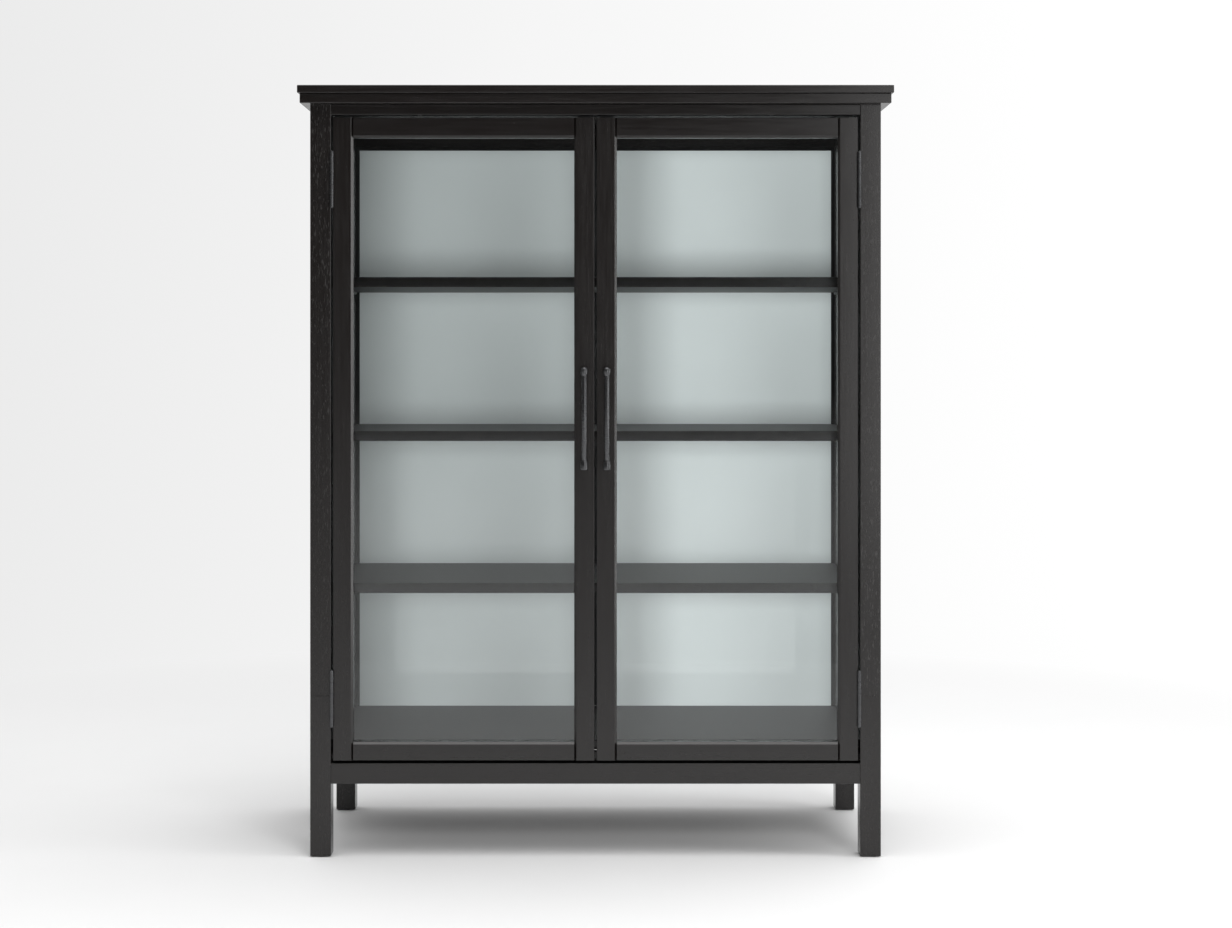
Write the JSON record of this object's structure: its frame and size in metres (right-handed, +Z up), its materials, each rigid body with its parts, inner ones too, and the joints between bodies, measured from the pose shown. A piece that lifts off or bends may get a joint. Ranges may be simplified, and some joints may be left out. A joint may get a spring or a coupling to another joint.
{
  "type": "china cabinet",
  "caption": "Free-standing china cabinet in black-stained wood, with framed glass doors, a light grey back, shelves on pins and dark bar handles.",
  "frame": {"origin": "on the floor, in the middle of the bounding box from side to side and front to back (the handles count in the depth)", "axes": "+X to the right seen from the front, +Y to the back, +Z up"},
  "size_m": [1.03, 0.434, 1.337],
  "materials": {
    "black_wood": "black stain with a satin lacquer, open grain",
    "grey_panel": "light grey lacquered board, slight gloss",
    "dark_strip": "matte black",
    "glass": "clear float glass",
    "dark_metal": "dark bronze-black, satin",
    "zinc_screw": "zinc plated",
    "dowel_wood": "raw beech",
    "glide": "matte black",
    "black_plastic": "matte black"
  },
  "bodies": {
    "case": {"back_beads": "black_wood", "back_bottom_rail": "black_wood", "back_joint_strip": "dark_strip", "back_panel_left": "grey_panel", "back_panel_right": "grey_panel", "back_panel_screws": "zinc_screw", "back_top_rail": "black_wood", "cabinet_floor": "black_wood", "case_screws": "zinc_screw", "dowels": "dowel_wood", "floor_cleats": "black_wood", "foot_glides": "glide", "front_bottom_rail": "black_wood", "front_top_rail": "black_wood", "hinge_pins": "dark_metal", "leg_back_left": "black_wood", "leg_back_right": "black_wood", "leg_front_left": "black_wood", "leg_front_right": "black_wood", "magnetic_catches": "black_plastic", "post_back_left": "black_wood", "post_back_right": "black_wood", "post_front_left": "black_wood", "post_front_right": "black_wood", "post_hinge_leaves": "dark_metal", "post_hinge_screws": "dark_metal", "shelf_high": "black_wood", "shelf_low": "black_wood", "shelf_mid": "black_wood", "shelf_pins": "zinc_screw", "side_bottom_rail_left": "black_wood", "side_bottom_rail_right": "black_wood", "side_panel_left": "black_wood", "side_panel_right": "black_wood", "side_top_rail_left": "black_wood", "side_top_rail_right": "black_wood", "top_board": "black_wood", "under_board": "black_wood"},
    "door_left": {"hinge_stile_left": "black_wood", "lock_stile_left": "black_wood", "door_top_rail_left": "black_wood", "door_bottom_rail_left": "black_wood", "door_glass_left": "glass", "glass_beads_left": "black_wood", "handle_left": "dark_metal", "handle_screws_left": "dark_metal", "door_hinge_leaves_left": "dark_metal", "door_hinge_screws_left": "dark_metal", "strike_plate_left": "zinc_screw"},
    "door_right": {"hinge_stile_right": "black_wood", "lock_stile_right": "black_wood", "door_top_rail_right": "black_wood", "door_bottom_rail_right": "black_wood", "door_glass_right": "glass", "glass_beads_right": "black_wood", "handle_right": "dark_metal", "handle_screws_right": "dark_metal", "door_hinge_leaves_right": "dark_metal", "door_hinge_screws_right": "dark_metal", "strike_plate_right": "zinc_screw"}
  },
  "joints": [
    {"name": "left_door_hinge", "type": "hinge", "parent": "case", "child": "door_left", "pos_m": [-0.45725, -0.1905, 0.725], "axis": [0, 0, -1], "range_deg": [0, 170]},
    {"name": "right_door_hinge", "type": "hinge", "parent": "case", "child": "door_right", "pos_m": [0.45725, -0.1905, 0.725], "axis": [0, 0, 1], "range_deg": [0, 170]}
  ]
}
